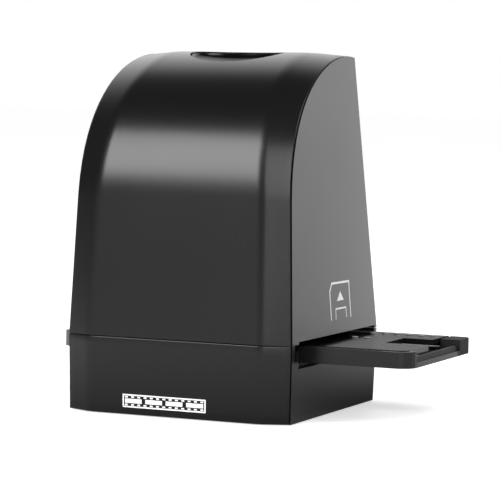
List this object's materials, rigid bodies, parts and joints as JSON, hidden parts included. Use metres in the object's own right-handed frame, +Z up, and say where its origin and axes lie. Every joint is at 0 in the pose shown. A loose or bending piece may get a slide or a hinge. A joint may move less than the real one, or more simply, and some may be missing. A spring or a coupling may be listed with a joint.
{
  "type": "film negative scanner",
  "caption": "Tall case with a curved front and a slot low in its sides, through which a film holder with a hinged lid slides; camera above, lamp below, one push button on top.",
  "frame": {"origin": "centre of the flat rubber pad under the case, on the table", "axes": "+Z up, -Y the curved front, +X the side where the finger notch of the film holder comes out"},
  "size_m": [0.1341, 0.085, 0.127],
  "materials": {
    "case_front": "fine satin moulding, dark grey",
    "case_side": "fine satin moulding, dark grey",
    "rubber": "soft black rubber",
    "steel": "zinc-plated steel",
    "spring_steel": "bright spring steel",
    "inner_black": "matt black",
    "reflector_white": "matt white",
    "diffuser_white": "milky white acrylic",
    "board_white": "white circuit board",
    "board_green": "green circuit board",
    "lamp": "clear lamp body with a yellow phosphor",
    "barrel_black": "black anodised",
    "lens_glass": "coated glass",
    "chip_black": "black moulding compound",
    "socket_cream": "cream nylon",
    "ribbon_orange": "orange polyimide film",
    "button_black": "polished black",
    "plunger_white": "white nylon",
    "holder_black": "satin black",
    "holder_gloss": "polished black"
  },
  "bodies": {
    "scanner": {"base_tub": "case_side", "base_front": "case_front", "front_cover": "case_front", "rear_housing": "case_side", "rubber_pad": "rubber", "case_screws": "steel", "holder_channel": "inner_black", "channel_screws": "steel", "detent_spring": "spring_steel", "light_box": "reflector_white", "diffuser": "diffuser_white", "led_board": "board_white", "backlight_leds": "lamp", "led_board_screws": "steel", "camera_shroud": "inner_black", "shroud_screws": "steel", "lens_mount": "inner_black", "lens_barrel": "barrel_black", "lens_glass": "lens_glass", "sensor_board": "board_green", "image_sensor": "chip_black", "sensor_screws": "steel", "main_board": "board_green", "processor_chip": "chip_black", "memory_chip": "chip_black", "ribbon_sockets": "socket_cream", "main_board_screws": "steel", "usb_socket": "steel", "sensor_ribbon": "ribbon_orange", "button_ribbon": "ribbon_orange", "button_cup": "inner_black", "button_spring": "spring_steel", "button_board": "board_green", "button_board_screws": "steel", "switch_body": "chip_black"},
    "button": {"scan_button": "button_black"},
    "plunger": {"switch_plunger": "plunger_white"},
    "holder": {"holder_base": "holder_black", "hinge_pins": "steel"},
    "lid": {"holder_lid": "holder_gloss"}
  },
  "joints": [
    {"name": "holder_slide", "type": "slide", "parent": "scanner", "child": "holder", "axis": [1, 0, 0], "range_m": [-0.122, 0.095]},
    {"name": "lid_hinge", "type": "hinge", "parent": "holder", "child": "lid", "pos_m": [0.01, 0.0352, 0.0244], "axis": [-1, 0, 0], "range_deg": [0, 1.2]},
    {"name": "button_press", "type": "slide", "parent": "scanner", "child": "button", "axis": [0, 0, -1], "range_m": [0, 0.001], "stiffness_N_per_m": 600, "springref_m": -0.0015, "deforming": ["button_spring"]},
    {"name": "plunger_press", "type": "slide", "parent": "scanner", "child": "plunger", "axis": [0, 0, -1], "range_m": [0, 0.001]}
  ],
  "couplings": [
    {"joint": "plunger_press", "follows": "button_press", "ratio": 1}
  ]
}
